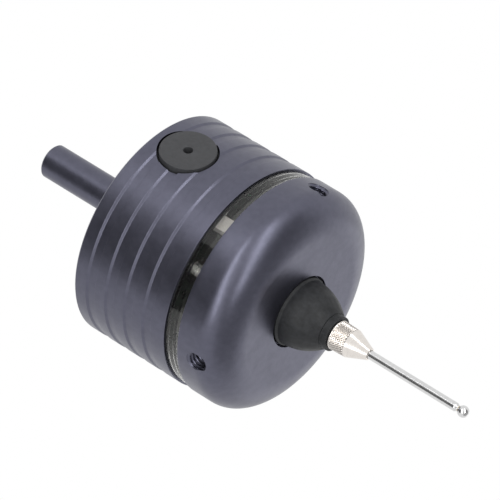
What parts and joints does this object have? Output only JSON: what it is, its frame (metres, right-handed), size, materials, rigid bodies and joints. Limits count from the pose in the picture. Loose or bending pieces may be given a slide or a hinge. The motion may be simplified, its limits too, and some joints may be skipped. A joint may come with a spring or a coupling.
{
  "type": "edge finder",
  "caption": "Battery-powered touch edge finder with plain shank, grooved round body, clear light ring, side buzzer, rubber boot and a sprung ball-tipped stylus in a knurled chuck.",
  "frame": {"origin": "centre of the shoulder where the shank leaves the housing", "axes": "+Z along the spindle axis towards the shank's free end, the stylus points along -Z, and the buzzer faces -Y"},
  "size_m": [0.04, 0.0401, 0.0898],
  "materials": {
    "anodised": "satin bead-blasted, dark blue-grey anodised",
    "clear_plastic": "clear, polished",
    "steel": "ground and polished",
    "black_steel": "black oxide",
    "nickel": "nickel plated",
    "brass": "turned",
    "acetal": "turned, black",
    "black_plastic": "moulded, black",
    "buzzer_case": "moulded, black, fine grain",
    "rubber": "moulded, matt black",
    "board": "green lacquer",
    "lamp": "milky white",
    "cell_can": "pressed steel",
    "lead_sheath": "smooth"
  },
  "bodies": {
    "body": {"shank": "anodised", "shank_screws": "steel", "housing": "anodised", "ring_gasket": "rubber", "light_ring": "clear_plastic", "cap": "anodised", "set_screws": "black_steel", "seat_ring": "acetal", "spring_tube": "acetal", "guide_screws": "steel", "adjusting_plug": "brass", "contact_tab": "brass", "spring": "steel", "boot": "rubber", "tie_studs": "steel", "tie_nuts": "steel", "circuit_board": "board", "leds": "lamp", "control_chip": "black_plastic", "resistors": "black_plastic", "cell_holder": "black_plastic", "lower_contacts": "nickel", "upper_contacts": "nickel", "cell_cover": "black_plastic", "cell_1": "cell_can", "cell_2": "cell_can", "cell_3": "cell_can", "buzzer": "buzzer_case", "buzzer_sleeve": "rubber", "buzzer_leads": "lead_sheath"},
    "plunger": {"plunger": "steel", "centring_ring": "rubber"},
    "pivot_ball": {"pivot_ball": "steel"},
    "stylus": {"swivel_stem": "steel", "knurled_collar": "nickel", "collet": "nickel", "stylus_rod": "steel", "tip_ball": "steel"}
  },
  "joints": [
    {"name": "stylus_lift", "type": "slide", "parent": "body", "child": "plunger", "axis": [0, 0, 1], "range_m": [0, 0.0015], "stiffness_N_per_m": 700, "springref_m": -0.002, "deforming": ["spring", "boot"]},
    {"name": "stylus_tilt_x", "type": "hinge", "parent": "plunger", "child": "pivot_ball", "pos_m": [0, 0, -0.025], "axis": [1, 0, 0], "range_deg": [-8, 8], "stiffness_Nm_per_rad": 0.12, "deforming": ["boot", "centring_ring"]},
    {"name": "stylus_tilt_y", "type": "hinge", "parent": "pivot_ball", "child": "stylus", "pos_m": [0, 0, -0.025], "axis": [0, 1, 0], "range_deg": [-8, 8], "stiffness_Nm_per_rad": 0.12, "deforming": ["boot", "centring_ring"]}
  ]
}
